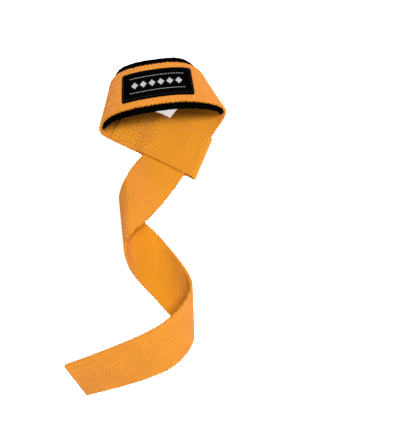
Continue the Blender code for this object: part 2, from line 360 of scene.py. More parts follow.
class Ribbon:
    """The laid strip as smooth curves: its middle line, the way across and its normal."""

    def __init__(self):
        runs = [flap(), fold(), far_layer()]
        self.loop_start = sum(len(line) for line, _ in runs) - 1
        loop_line, loop_rulings, self.loop_places, self.row_keys = wrist_loop()
        cross_line, cross_rulings = crossing()
        tail_line, tail_rulings, _, _ = long_end()
        runs.append((loop_line[1:], loop_rulings[1:]))
        runs.append((cross_line[1:], cross_rulings[1:]))
        runs.append((tail_line[1:], tail_rulings[1:]))
        line = np.concatenate([run[0] for run in runs])
        rulings = np.concatenate([run[1] for run in runs])
        normals, stretch = strip_frame(line, rulings)
        across = rulings * stretch[:, None]
        line = line + self.seat(line, across, normals)
        self.keys = chord_lengths(line)
        self.values = np.hstack([line, across, normals])
        self.slopes = spline_slopes(self.keys, self.values)
        self.flap_stations = len(runs[0][0])

    def seat(self, line, across, normals):
        """How far the strip moves to lie where its packed solid lies."""
        half = LAID_WIDTH / 2
        inner = half - EDGE_CHAMFER
        through = LAID_THICKNESS / 2
        corners = []
        for out, up in ((half, through - EDGE_CHAMFER), (inner, through)):
            for side in (-out, out):
                for face in (-up, up):
                    corners.append(line + across * side + normals * face)
        corners = np.concatenate(corners)
        low = np.array(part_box("webbing_strap")[0])
        return low - corners.min(axis=0)

    def read(self, places):
        """Middle line, way across and normal at places along the strip."""
        values = cubic(self.keys, self.values, self.slopes, places)
        line, across, normals = np.split(values, 3, axis=1)
        return line, across, unit_rows(normals)

    def spots(self, places, sides, lifts, square=False):
        """Points at places along, distances across and heights towards the inner face."""
        line, across, normals = self.read_square(places) if square else self.read(places)
        return line + across * sides[:, None] + normals * lifts[:, None], normals

    def read_square(self, places):
        """As read, with the way across turned to stand square to the middle line."""
        line, across, normals = self.read(places)
        ahead, _, _ = self.read(places + 0.0002)
        tangents = unit_rows(ahead - line)
        square = across - tangents * np.sum(across * tangents, axis=1)[:, None]
        return line, unit_rows(square), normals

    def loop_place(self, row, share):
        """Place along the loop's own run of a named row, a share of the way to the next."""
        i = [entry[0] for entry in LOOP_ROWS].index(row) + 1
        neighbour = i + 1 if share >= 0 else i - 1
        return self.row_keys[i] + abs(share) * (self.row_keys[neighbour] - self.row_keys[i])

    def loop_span(self, start, end):
        """Places along the strip of two places along the loop's own run."""
        keys = self.keys[self.loop_start:self.loop_start + len(self.loop_places)]
        return np.interp([start, end], self.loop_places, keys)

    def pad_span(self):
        """Places along the strip where the pad starts and ends."""
        return self.loop_span(self.loop_place(*PAD_FROM), self.loop_place(*PAD_TO))

    def patch_span(self):
        """Places along the strip where the patch starts and ends."""
        middle = self.loop_place(*PATCH_MIDDLE)
        return self.loop_span(middle - PATCH_LAID_LENGTH / 2, middle + PATCH_LAID_LENGTH / 2)

    def flap_place(self, reach):
        """Place along the strip of the point on the flap that far from the crossing."""
        fold_top = self.keys[self.flap_stations - 1]
        return fold_top - FOLD_REACH - reach


def rounded_outline(half_width, half_height, radius, flats, turns):
    """Closed outline of a flat band: across, through, the two parts of its outward way."""
    points = []
    inner = half_width - radius
    low = half_height - radius
    for corner, (side, face) in enumerate(((-1, -1), (1, -1), (1, 1), (-1, 1))):
        start = math.pi + corner * math.pi / 2
        for angle in np.linspace(start, start + math.pi / 2, turns + 1):
            points.append((side * inner + radius * math.cos(angle),
                           face * low + radius * math.sin(angle),
                           math.cos(angle), math.sin(angle)))
        if corner in (0, 2):
            edges = 0.0012 / (2 * inner)
            between = np.linspace(0.0, 1.0, flats + 2)[1:-1]
            for share in (edges, *between, 1 - edges):
                points.append((side * inner * (1 - 2 * share), face * half_height, 0.0, face))
    return np.array(points)


def girth_places(outline):
    """How far round the outline each of its points is, and its whole girth at the end."""
    closed = np.concatenate([outline[:, :2], outline[:1, :2]])
    return chord_lengths(closed)


def lofted(name, rings, maps, finish):
    """Closed mesh through rings of points, with a UV map for each named grid of places."""
    count, around, _ = rings.shape
    index = np.arange(count * around).reshape(count, around)
    beside = np.roll(index, -1, axis=1)
    faces = np.stack([index[:-1], beside[:-1], beside[1:], index[1:]], axis=-1).reshape(-1, 4)
    caps = [index[0][::-1].tolist(), index[-1].tolist()]
    mesh = bpy.data.meshes.new(name)
    mesh.from_pydata(rings.reshape(-1, 3).tolist(), [], faces.tolist() + caps)
    for map_name, grid in maps.items():
        layer = mesh.uv_layers.new(name=map_name)
        places = np.stack([grid[:-1, :-1], grid[:-1, 1:], grid[1:, 1:], grid[1:, :-1]], axis=2)
        caps = np.concatenate([grid[0, :-1][::-1], grid[-1, :-1]])
        layer.data.foreach_set("uv", np.concatenate([places.reshape(-1, 2), caps]).ravel())
    return finished_piece(name, mesh, [finish])


def finished_piece(name, mesh, finishes):
    """Object of a mesh with outward faces, smooth shading and its finishes."""
    maker = bmesh.new()
    maker.from_mesh(mesh)
    bmesh.ops.recalc_face_normals(maker, faces=maker.faces)
    maker.to_mesh(mesh)
    maker.free()
    for finish in finishes:
        mesh.materials.append(finish)
    mesh.shade_smooth()
    piece = bpy.data.objects.new(name, mesh)
    bpy.context.scene.collection.objects.link(piece)
    return piece


def band_rings(frame_rows, outline, extra, offset=0.0, near_shares=1.0, far_shares=1.0):
    """Rings of points of a band on the ribbon, each pushed outward by its extra."""
    line, across, normals = frame_rows
    near = np.broadcast_to(near_shares, len(line))[:, None]
    far = np.broadcast_to(far_shares, len(line))[:, None]
    side = outline[None, :, 0] * np.where(outline[None, :, 0] < 0, near, far)
    side = side + outline[None, :, 2] * extra
    through = outline[None, :, 1] + outline[None, :, 3] * extra + offset
    return (line[:, None, :] + across[:, None, :] * side[:, :, None]
            + normals[:, None, :] * through[:, :, None])


def flat_places(ribbon, places, outline):
    """Distance along and round the flat strip of each point of a band."""
    line, across, _ = ribbon.read(places)
    tangents = unit_rows(np.gradient(line, places, axis=0))
    lean = np.sum(across * tangents, axis=1)
    sides = np.concatenate([outline[:, 0], outline[:1, 0]])
    along = places[:, None] + lean[:, None] * sides[None, :]
    round_it = np.broadcast_to(girth_places(outline)[None, :], along.shape)
    return np.stack([along, round_it], axis=-1)


def wander(places, size, lengths):
    """Gentle uneven drift along a strip, made of a few long waves."""
    drift = np.zeros_like(places)
    for order, length in enumerate(lengths):
        drift = drift + np.sin(TAU * places / length + 1.7 * order + 0.6) / len(lengths)
    return drift * size


class Finish:
    """A principled material with short ways to add the nodes that feed it."""

    def __init__(self, name, roughness, specular=0.3, sheen=0.0, sheen_tint=(1.0, 1.0, 1.0)):
        self.material = bpy.data.materials.new(name)
        self.material.use_nodes = True
        self.tree = self.material.node_tree
        self.shader = self.tree.nodes["Principled BSDF"]
        self.shader.inputs["Roughness"].default_value = roughness
        self.shader.inputs["Specular IOR Level"].default_value = specular
        self.shader.inputs["Sheen Weight"].default_value = sheen
        self.shader.inputs["Sheen Roughness"].default_value = 0.45
        self.shader.inputs["Sheen Tint"].default_value = (*sheen_tint, 1.0)

    def put(self, socket, value):
        """Links an output to a socket, or sets the socket to a plain value."""
        if isinstance(value, bpy.types.NodeSocket):
            self.tree.links.new(value, socket)
        else:
            socket.default_value = value

    def calc(self, operation, *values):
        """A math node's result."""
        node = self.tree.nodes.new("ShaderNodeMath")
        node.operation = operation
        for socket, value in zip(node.inputs, values):
            self.put(socket, value)
        return node.outputs[0]

    def flat(self, map_name="flat"):
        """The two values of a UV map: distances along and round the flat strip."""
        node = self.tree.nodes.new("ShaderNodeUVMap")
        node.uv_map = map_name
        apart = self.tree.nodes.new("ShaderNodeSeparateXYZ")
        self.tree.links.new(node.outputs["UV"], apart.inputs[0])
        return apart.outputs["X"], apart.outputs["Y"]

    def spot(self, x, y):
        """Vector of two distances."""
        node = self.tree.nodes.new("ShaderNodeCombineXYZ")
        self.put(node.inputs["X"], x)
        self.put(node.inputs["Y"], y)
        return node.outputs[0]

    def noise(self, vector, scale, detail=2.0):
        """Soft noise from 0 to 1 at a vector."""
        node = self.tree.nodes.new("ShaderNodeTexNoise")
        node.inputs["Scale"].default_value = scale
        node.inputs["Detail"].default_value = detail
        self.put(node.inputs["Vector"], vector)
        return node.outputs["Fac"]

    def body(self):
        """Place in the object's own space."""
        return self.tree.nodes.new("ShaderNodeTexCoord").outputs["Object"]

    def blend(self, share, first, second):
        """Colour a share of the way from the first to the second."""
        node = self.tree.nodes.new("ShaderNodeMix")
        node.data_type = "RGBA"
        self.put(node.inputs[0], share)
        for socket, colour in ((node.inputs[6], first), (node.inputs[7], second)):
            self.put(socket, (*colour, 1.0) if isinstance(colour, tuple) else colour)
        return node.outputs[2]

    def span(self, value, low, high, to_low, to_high):
        """A value moved from one range to another, held at both ends."""
        node = self.tree.nodes.new("ShaderNodeMapRange")
        for socket, number in zip(node.inputs, (value, low, high, to_low, to_high)):
            self.put(socket, number)
        return node.outputs[0]

    def relief(self, height, depth):
        """Bump from a height of 0 to 1."""
        node = self.tree.nodes.new("ShaderNodeBump")
        node.inputs["Strength"].default_value = 1.0
        node.inputs["Distance"].default_value = depth
        self.put(node.inputs["Height"], height)
        self.put(self.shader.inputs["Normal"], node.outputs[0])

    def wave(self, phase):
        """Smooth wave between 0 and 1, once for each whole step of the phase."""
        turn = self.calc("MULTIPLY", phase, TAU)
        return self.calc("MULTIPLY_ADD", self.calc("COSINE", turn), 0.5, 0.5)


def shade(colour, share):
    """A colour made darker or lighter by a share."""
    return tuple(min(part * share, 1.0) for part in colour)


def webbing_finish(settings, half_girth):
    """Ribs of thick cotton yarns, a little slanted on the face and square on the back."""
    colour = tuple(settings.colour)
    finish = Finish("orange webbing", 0.9, 0.12, 0.5, (1.0, 0.22, 0.26))
    along, round_it = finish.flat()
    inner = finish.calc("GREATER_THAN", round_it, half_girth)
    yarn = finish.calc("DIVIDE", round_it, settings.yarn_width)
    lean = finish.span(inner, 0.0, 1.0, settings.face_lean, settings.back_lean)
    stepped = finish.calc("MULTIPLY", finish.calc("FLOOR", yarn), lean)
    phase = finish.calc("ADD", finish.calc("DIVIDE", along, settings.rib_pitch), stepped)
    rib = finish.wave(phase)
    cord = finish.calc("ABSOLUTE", finish.calc("SINE", finish.calc("MULTIPLY", yarn, math.pi)))
    cord = finish.calc("POWER", cord, 0.6)
    weave = finish.calc("MULTIPLY", cord, finish.calc("MULTIPLY_ADD", rib, 0.7, 0.3))
    place = finish.spot(along, round_it)
    fibre = finish.noise(place, 5200.0, 3.0)
    dye = finish.noise(finish.body(), 38.0, 3.0)
    streak = finish.noise(finish.spot(finish.calc("MULTIPLY", along, 0.06), round_it), 1500.0)
    height = finish.calc("MULTIPLY_ADD", fibre, 0.22, finish.calc("MULTIPLY", weave, 0.9))
    # Painted shade: the colour darkens in the grooves between the yarns and between the ribs,
    # mixed with random tone from the fibre, dye and streak noise.
    light = finish.calc("MULTIPLY_ADD", weave, 0.95, finish.calc("MULTIPLY", fibre, 0.25))
    light = finish.calc("ADD", light, finish.calc("MULTIPLY_ADD", dye, 0.36, -0.18))
    light = finish.calc("ADD", light, finish.calc("MULTIPLY_ADD", streak, 0.24, -0.06))
    light = finish.calc("MINIMUM", finish.calc("MAXIMUM", light, 0.0), 1.0)
    tone = finish.blend(light, shade(colour, 0.25), shade(colour, 1.22))
    sear_and_shadow, notch_shade = finish.flat("marks")
    # Painted shade in the notches between the yarn loops at the edges, blended towards the dark
    # colour of the sealed ends.
    notch_shade = finish.calc("MULTIPLY", finish.calc("POWER", notch_shade, 3.0), 0.62)
    tone = finish.blend(notch_shade, tone, tuple(settings.seared_and_shade_colour))
    # The sealed cut ends darken, and at the flap's end the dark mark widens into a painted shadow
    # of its cut edge.
    sear_and_shadow = finish.span(finish.calc("MULTIPLY_ADD", fibre, 0.5, sear_and_shadow), 0.55, 1.0, 0.0, 0.9)
    tone = finish.blend(sear_and_shadow, tone, tuple(settings.seared_and_shade_colour))
    finish.put(finish.shader.inputs["Base Color"], tone)
    finish.put(finish.shader.inputs["Roughness"],
               finish.span(weave, 0.0, 1.0, 0.98, 0.80))
    finish.relief(height, settings.weave_depth)
    return finish.material


def pad_finish(settings):
    """Black foam rubber faced with a fine knit."""
    colour = tuple(settings.colour)
    finish = Finish("black foam", 0.95, 0.005)
    along, round_it = finish.flat()
    course = finish.calc("DIVIDE", along, settings.knit_pitch)
    wale = finish.calc("DIVIDE", round_it, settings.knit_pitch)
    odd = finish.calc("MULTIPLY", finish.calc("FLOOR", wale), 0.5)
    loops = finish.calc("MULTIPLY", finish.wave(finish.calc("ADD", course, odd)),
                        finish.wave(wale))
    grain = finish.noise(finish.body(), 900.0, 3.0)
    wear = finish.noise(finish.body(), 60.0, 2.0)
    height = finish.calc("MULTIPLY_ADD", grain, 0.4, loops)
    tone = finish.blend(finish.calc("MULTIPLY", loops, wear), shade(colour, 0.6),
                        shade(colour, 1.5))
    finish.put(finish.shader.inputs["Base Color"], tone)
    finish.put(finish.shader.inputs["Roughness"], finish.span(wear, 0.2, 0.8, 0.74, 0.94))
    finish.relief(height, settings.knit_depth)
    return finish.material


def patch_finish(settings):
    """Black woven label cloth with fine ribs across it."""
    colour = tuple(settings.colour)
    finish = Finish("black patch", 0.9, 0.005)
    along, round_it = finish.flat()
    rib = finish.wave(finish.calc("DIVIDE", round_it, settings.rib_pitch))
    yarn = finish.wave(finish.calc("DIVIDE", along, settings.rib_pitch * 0.8))
    cloth = finish.calc("MULTIPLY_ADD", yarn, 0.4, finish.calc("MULTIPLY", rib, 0.6))
    lint = finish.noise(finish.body(), 260.0, 4.0)
    tone = finish.blend(finish.calc("MULTIPLY", cloth, lint), shade(colour, 0.6),
                        shade(colour, 1.6))
    finish.put(finish.shader.inputs["Base Color"], tone)
    finish.put(finish.shader.inputs["Roughness"], finish.span(lint, 0.3, 0.7, 0.62, 0.82))
    finish.relief(cloth, settings.rib_depth)
    return finish.material


def thread_finish(name, colour, roughness=0.75):
    """Plied sewing thread."""
    finish = Finish(name, roughness, 0.3, 0.25, (1.0, 0.8, 0.7))
    ply = finish.noise(finish.body(), 2600.0, 2.0)
    tone = finish.blend(ply, shade(colour, 0.72), shade(colour, 1.15))
    finish.put(finish.shader.inputs["Base Color"], tone)
    finish.relief(ply, 0.00006)
    return finish.material


def sewn_path(corners, pitch, covered, closed=False):
    """Starts and ends of stitches along a path of (place, side) corners."""
    corners = np.array(corners, dtype=float)
    if closed:
        corners = np.concatenate([corners, corners[:1]])
    stitches = []
    for start, end in zip(corners[:-1], corners[1:]):
        count = max(int(round(np.linalg.norm(end - start) / pitch)), 1)
        for i in range(count):
            first = start + (end - start) * ((i + 0.5 - covered / 2) / count)
            last = start + (end - start) * ((i + 0.5 + covered / 2) / count)
            stitches.append((first, last))
    return stitches


def sewn_threads(name, ribbon, stitches, lift, radius, finishes, hole=0.0, square=False):
    """Raised stitches on a face of the ribbon, with dark cones of painted shade where the needle
    went in.
    """
    stations = np.array([0.0, 0.10, 0.30, 0.5, 0.70, 0.90, 1.0])
    rises = np.array([-1.1, -0.1, 0.55, 0.7, 0.55, -0.1, -1.1]) * radius
    thickness = np.array([0.55, 0.85, 1.0, 1.0, 1.0, 0.85, 0.55]) * radius
    ways = np.linspace(0.0, TAU, 9)[:-1]
    face = 1.0 if lift > 0 else -1.0
    firsts = np.array([first for first, _ in stitches])
    lasts = np.array([last for _, last in stitches])
    count = len(stitches)
    centres = np.empty((count, len(stations), 3))
    outward = np.empty_like(centres)
    for i, share in enumerate(stations):
        spots = firsts + (lasts - firsts) * share
        centre, normals = ribbon.spots(spots[:, 0], spots[:, 1], np.full(count, lift),
                                       square)
        outward[:, i] = normals * face
        centres[:, i] = centre + outward[:, i] * rises[i]
    heading = centres[:, -1] - centres[:, 0]
    heading /= np.linalg.norm(heading, axis=1)[:, None]
    beside = np.cross(heading[:, None, :], outward)
    points = (centres[:, :, None, :]
              + beside[:, :, None, :] * (np.cos(ways)[None, None, :, None]
                                         * thickness[None, :, None, None])
              + outward[:, :, None, :] * (np.sin(ways)[None, None, :, None]
                                          * thickness[None, :, None, None] * 0.85))
    around = len(ways)
    index = np.arange(count * len(stations) * around).reshape(count, len(stations), around)
    near = np.roll(index, -1, axis=2)
    sides = np.stack([index[:, :-1], near[:, :-1], near[:, 1:], index[:, 1:]], axis=-1)
    faces = sides.reshape(-1, 4).tolist()
    faces += index[:, 0, ::-1].tolist() + index[:, -1].tolist()
    vertices = points.reshape(-1, 3)
    thread_faces = len(faces)
    if hole > 0:
        dips, dip_faces = needle_dip_shades(ribbon, stitches, lift, face, hole, len(vertices))
        vertices = np.concatenate([vertices, dips])
        faces += dip_faces
    mesh = bpy.data.meshes.new(name)
    mesh.from_pydata(vertices.tolist(), [], faces)
    slots = np.zeros(len(faces), dtype=np.int32)
    slots[thread_faces:] = 1
    mesh.polygons.foreach_set("material_index", slots)
    return finished_piece(name, mesh, finishes)


def needle_dip_shades(ribbon, stitches, lift, face, hole, first_index):
    """Small low cones over the cloth at both ends of each stitch, to carry painted shade where the
    needle went in.
    """
    ways = np.linspace(0.0, TAU, 9)[:-1]
    spots = np.array([end for stitch in stitches for end in stitch])
    along = np.concatenate([spots[:, :1] + hole * np.cos(ways)[None, :], spots[:, :1]], axis=1)
    side = np.concatenate([spots[:, 1:] + hole * np.sin(ways)[None, :], spots[:, 1:]], axis=1)
    heights = np.array([lift - face * 0.00006] * len(ways) + [lift + face * 0.00007])
    lifts = np.broadcast_to(heights, along.shape)
    points, _ = ribbon.spots(along.ravel(), side.ravel(), lifts.ravel())
    size = len(ways) + 1
    faces = []
    for i in range(len(spots)):
        base = first_index + i * size
        for j in range(len(ways)):
            faces.append([base + j, base + (j + 1) % len(ways), base + len(ways)])
        faces.append([base + j for j in reversed(range(len(ways)))])
    return points, faces


class WebbingSettings(PropertyGroup):
    """Sizes and colours of the webbing."""

    width: FloatProperty(
        name="Width", description="Width of the webbing", default=0.038,
        min=0.02, max=0.06, unit="LENGTH")
    thickness: FloatProperty(
        name="Thickness", description="Thickness of the webbing", default=0.0022,
        min=0.001, max=0.004, unit="LENGTH")
    rib_pitch: FloatProperty(
        name="Rib pitch", description="Distance between the ribs across the webbing",
        default=0.00150, min=0.0003, max=0.004, precision=5, unit="LENGTH")
    yarn_width: FloatProperty(
        name="Yarn width", description="Width of one lengthwise yarn",
        default=0.00056, min=0.0002, max=0.003, precision=5, unit="LENGTH")
    face_lean: FloatProperty(
        name="Face lean", description="Share of a repeat that each yarn steps on the face",
        default=0.05, min=-1.0, max=1.0, subtype="FACTOR")
    back_lean: FloatProperty(
        name="Back lean", description="Share of a repeat that each yarn steps on the back",
        default=0.03, min=-1.0, max=1.0, subtype="FACTOR")
    weave_depth: FloatProperty(
        name="Weave depth", description="Depth of the weave's relief",
        default=0.00050, min=0.0, max=0.001, precision=5, unit="LENGTH")
    tooth_pitch: FloatProperty(
        name="Tooth pitch", description="Distance between the yarn loops at the edges",
        default=0.0023, min=0.0005, max=0.005, precision=5, unit="LENGTH")
    rib_height: FloatProperty(
        name="Rib height", description="How far the ribs stand up",
        default=0.00010, min=0.0, max=0.0005, precision=5, unit="LENGTH")
    tooth: FloatProperty(
        name="Selvedge tooth", description="How far the yarn loops stand out at the edges",
        default=0.00045, min=0.0, max=0.001, precision=5, unit="LENGTH")
    colour: FloatVectorProperty(
        name="Colour", description="Colour of the cotton", default=(1.0, 0.322, 0.012),
        min=0.0, max=1.0, subtype="COLOR")
    # Also the colour of the painted shade in the edge notches and of the painted shadow at the
    # flap's end.
    seared_and_shade_colour: FloatVectorProperty(
        name="Seared colour", description="Colour of the sealed cut ends",
        default=(0.42, 0.12, 0.02), min=0.0, max=1.0, subtype="COLOR")


class PadSettings(PropertyGroup):
    """Sizes and colours of the foam pad."""

    thickness: FloatProperty(
        name="Thickness", description="Thickness of the foam pad", default=0.0032,
        min=0.001, max=0.008, unit="LENGTH")
    near_overhang: FloatProperty(
        name="Near overhang", description="How far the pad stands out past the near edge",
        default=0.0041, min=0.0, max=0.012, unit="LENGTH")
    far_overhang: FloatProperty(
        name="Far overhang", description="How far the pad stands out past the far edge",
        default=0.0068, min=0.0, max=0.012, unit="LENGTH")
    far_flare: FloatProperty(
        name="Far flare", description="How much further out the far edge is at both tips",
        default=0.0022, min=0.0, max=0.006, unit="LENGTH")
    tip_share: FloatProperty(
        name="Tip width", description="Half width of the pad's tips as a share of the webbing",
        default=0.42, min=0.1, max=0.6, subtype="FACTOR")
    swell: FloatProperty(
        name="Swell", description="How much thicker the free edge is than the sewn part",
        default=0.00035, min=0.0, max=0.002, precision=5, unit="LENGTH")
    knit_pitch: FloatProperty(
        name="Knit pitch", description="Size of one loop of the knit face",
        default=0.0006, min=0.0002, max=0.003, precision=5, unit="LENGTH")
    knit_depth: FloatProperty(
        name="Knit depth", description="Depth of the knit's relief",
        default=0.00010, min=0.0, max=0.001, precision=5, unit="LENGTH")
    colour: FloatVectorProperty(
        name="Colour", description="Colour of the pad", default=(0.0010, 0.0010, 0.0011),
        min=0.0, max=1.0, subtype="COLOR")


class PatchSettings(PropertyGroup):
    """Sizes and colours of the sewn patch."""

    width: FloatProperty(
        name="Width", description="Width of the patch", default=0.0265,
        min=0.01, max=0.036, unit="LENGTH")
    thickness: FloatProperty(
        name="Thickness", description="Thickness of the patch", default=0.0010,
        min=0.0004, max=0.003, unit="LENGTH")
    corner: FloatProperty(
        name="Corner radius", description="Radius of the patch's corners",
        default=0.0016, min=0.0002, max=0.006, unit="LENGTH")
    rib_pitch: FloatProperty(
        name="Rib pitch", description="Distance between the ribs of the label cloth",
        default=0.00042, min=0.0002, max=0.002, precision=5, unit="LENGTH")
    rib_depth: FloatProperty(
        name="Rib depth", description="Depth of the ribs of the label cloth",
        default=0.00006, min=0.0, max=0.0005, precision=5, unit="LENGTH")
    colour: FloatVectorProperty(
        name="Colour", description="Colour of the patch", default=(0.0010, 0.0010, 0.0011),
        min=0.0, max=1.0, subtype="COLOR")
    ornament_colour: FloatVectorProperty(
        name="Ornament colour", description="Colour of the diamonds on the patch",
        default=(0.46, 0.46, 0.47), min=0.0, max=1.0, subtype="COLOR")


class SewingSettings(PropertyGroup):
    """Sizes and colours of the stitching."""

    stitch: FloatProperty(
        name="Stitch", description="Length of one stitch on the flap", default=0.0038,
        min=0.001, max=0.008, unit="LENGTH")
    thread: FloatProperty(
        name="Thread", description="Thickness of the sewing thread", default=0.00056,
        min=0.0002, max=0.0015, precision=5, unit="LENGTH")
    dip: FloatProperty(
        name="Needle dip", description="Radius of the dip at each end of a stitch",
        default=0.00055, min=0.0, max=0.0015, precision=5, unit="LENGTH")
    colour: FloatVectorProperty(
        name="Colour", description="Colour of the thread", default=(0.90, 0.36, 0.04),
        min=0.0, max=1.0, subtype="COLOR")
    dip_shade_colour: FloatVectorProperty(
        name="Dip colour", description="Colour in the shade of the needle dips",
        default=(0.26, 0.075, 0.008), min=0.0, max=1.0, subtype="COLOR")


class StageSettings(PropertyGroup):
    """Floor, light and camera."""

    floor_colour: FloatVectorProperty(
        name="Floor colour", description="Colour of the floor", default=(0.95, 0.95, 0.95),
        min=0.0, max=1.0, subtype="COLOR")
    floor_glow: FloatProperty(
        name="Floor glow", description="Light that the lit table gives off by itself",
        default=0.60, min=0.0, max=2.0)
    distance: FloatProperty(
        name="Camera distance", description="Distance from the camera to the strap",
        default=0.600, min=0.2, max=4.0, unit="LENGTH")
    elevation: FloatProperty(
        name="Camera elevation", description="Angle of the camera above the floor",
        default=math.radians(75.0), min=0.1, max=math.pi / 2, subtype="ANGLE", unit="ROTATION")
    view_width: FloatProperty(
        name="View width", description="Angle that the picture's width covers",
        default=math.radians(31.56), min=0.1, max=2.0, subtype="ANGLE", unit="ROTATION")
    surround: FloatProperty(
        name="Surround light", description="Strength of the light from all round",
        default=0.38, min=0.0, max=4.0)


class STRAP_OT_webbing(Operator):
    """Weaves the strip of webbing from its stitched flap to its cut end"""

    bl_idname = "strap.webbing"
    bl_label = "Weave the webbing"

    def execute(self, context):
        settings = context.scene.strap_webbing
        ribbon = Ribbon()
        total = ribbon.keys[-1]
        places = np.linspace(0.0, total, int(round(total / WEBBING_STEP)) + 1)
        outline = rounded_outline(settings.width / 2, settings.thickness / 2, WEBBING_ROUNDING,
                                  5, 4)
        flat = flat_places(ribbon, places, outline)
        along = flat[:, :-1, 0]
        edge = np.abs(outline[:, 2])[None, :]
        drifted = along + wander(along, 0.0007, (0.0093, 0.0057))
        bead = np.cos(TAU * drifted / settings.tooth_pitch)
        yarn_steps = (girth_places(outline)[:-1] / settings.yarn_width)[None, :]
        lean = np.where(outline[:, 1] > 0, settings.back_lean, settings.face_lean)[None, :]
        rib = np.cos(TAU * (along / settings.rib_pitch + yarn_steps * lean))
        extra = edge * bead * settings.tooth + (1 - edge) * rib * settings.rib_height
        extra = extra + wander(along, 0.00014, (0.047, 0.019, 0.0083)) * edge
        rings = band_rings(ribbon.read(places), outline, extra)
        maps = {"flat": flat, "marks": self.marks(places, total, outline, edge * (1 - bead) / 2)}
        finish = webbing_finish(settings, girth_places(outline)[-1] / 2)
        piece = lofted(WEBBING, rings, maps, finish)
        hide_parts("webbing_strap")
        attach(piece, "root")
        return {"FINISHED"}


    def marks(self, places, total, outline, notch_shade):
        """How near each point is to a heat-sealed end, widened at the flap's end into a painted
        shadow, and how deep it lies in the notches at the edges, where shade is painted.
        """
        side_share = (outline[:, 0] / np.abs(outline[:, 0]).max() + 1) / 2
        wedge = FLAP_END_SEAR_AND_SHADOW[0] + (FLAP_END_SEAR_AND_SHADOW[1] - FLAP_END_SEAR_AND_SHADOW[0]) * side_share[None, :]
        at_flap = 1 - places[:, None] / wedge
        at_cut = 1 - (total - places)[:, None] / CUT_END_MARK
        sear_and_shadow = np.clip(np.maximum(at_flap, at_cut), -1.0, 1.0)
        grid = np.stack([sear_and_shadow, notch_shade], axis=-1)
        return np.concatenate([grid, grid[:, :1]], axis=1)


class STRAP_OT_pad(Operator):
    """Shapes the foam pad under the wrist part"""

    bl_idname = "strap.pad"
    bl_label = "Shape the foam pad"

    def execute(self, context):
        settings = context.scene.strap_pad
        width = context.scene.strap_webbing.width
        ribbon = Ribbon()
        start, end = ribbon.pad_span()
        places = np.linspace(start, end, int(round((end - start) / PAD_STEP)) + 1)
        half_width = width / 2 + settings.far_overhang
        half_height = settings.thickness / 2
        outline = rounded_outline(half_width, half_height, half_height * 0.92, 30, 6)
        shares = 2 * (places - start) / (end - start) - 1
        near_full = width / 2 + settings.near_overhang
        far_full = half_width + settings.far_flare * shares ** 2
        tip = width * settings.tip_share
        near_taper = np.clip(1 - shares ** PAD_NEAR_POWER, 0.0, 1.0) ** PAD_NEAR_SHAPE
        far_taper = np.sqrt(np.clip(1 - shares ** PAD_FAR_POWER, 0.0, 1.0))
        near = tip + (near_full - tip) * near_taper
        far = tip + (far_full - tip) * far_taper
        side = np.abs(outline[:, 0])[None, :]
        free = ease((side - width / 2) / (settings.far_overhang * 0.6))
        sewn = np.exp(-((side - (width / 2 - PAD_SEAM_INSET)) / 0.0016) ** 2)
        puckers = 0.75 + 0.25 * np.cos(TAU * places / 0.0034)[:, None]
        extra = free * settings.swell * 0.5 - sewn * 0.00028 * puckers
        extra = extra + wander(places, 0.00018, (0.031, 0.0127, 0.0071))[:, None] * free
        full = np.clip((1 - np.abs(shares)) / PAD_TIP_SHARE, 0.0, 1.0) ** 0.6
        offset = LAID_THICKNESS / 2 + PAD_GAP + half_height
        frame_rows = ribbon.read(places)
        rings = band_rings(frame_rows, outline, extra, offset, near / half_width,
                           far / half_width)
        line, _, normals = frame_rows
        middle = line + normals * offset
        depth = np.sum((rings - middle[:, None, :]) * normals[:, None, :], axis=2)
        pressed = (depth + half_height) * PAD_TIP_THINNING * (1 - full)[:, None]
        rings = rings - normals[:, None, :] * pressed[:, :, None]
        maps = {"flat": flat_places(ribbon, places, outline)}
        piece = lofted(PAD, rings, maps, pad_finish(settings))
        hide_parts("wrist_pad")
        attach(piece, "root")
        return {"FINISHED"}


class STRAP_OT_patch(Operator):
    """Cuts the woven patch and lays it on the wrist part"""

    bl_idname = "strap.patch"
    bl_label = "Lay the patch"

    def execute(self, context):
        settings = context.scene.strap_patch
        ribbon = Ribbon()
        start, end = ribbon.patch_span()
        places = np.linspace(start, end, int(round((end - start) / PATCH_STEP)) + 1)
        half_width = settings.width / 2
        outline = rounded_outline(half_width, settings.thickness / 2, PATCH_ROUNDING, 24, 4)
        from_end = np.minimum(places - start, end - places)
        into = np.clip(settings.corner - from_end, 0.0, None)
        cut = settings.corner - np.sqrt(settings.corner ** 2 - into ** 2)
        extra = np.zeros((len(places), len(outline)))
        extra = extra + wander(places, 0.00010, (0.0171, 0.0083, 0.0047))[:, None]
        extra = extra * np.abs(outline[:, 2])[None, :]
        offset = -(LAID_THICKNESS / 2 + PATCH_GAP + settings.thickness / 2)
        near = (half_width - PATCH_SHIFT - cut) / half_width
        far = (half_width + PATCH_SHIFT - cut) / half_width
        rings = band_rings(ribbon.read_square(places), outline, extra, offset, near, far)
        maps = {"flat": flat_places(ribbon, places, outline)}
        piece = lofted(PATCH, rings, maps, patch_finish(settings))
        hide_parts("label_patch")
        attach(piece, "root")
        return {"FINISHED"}


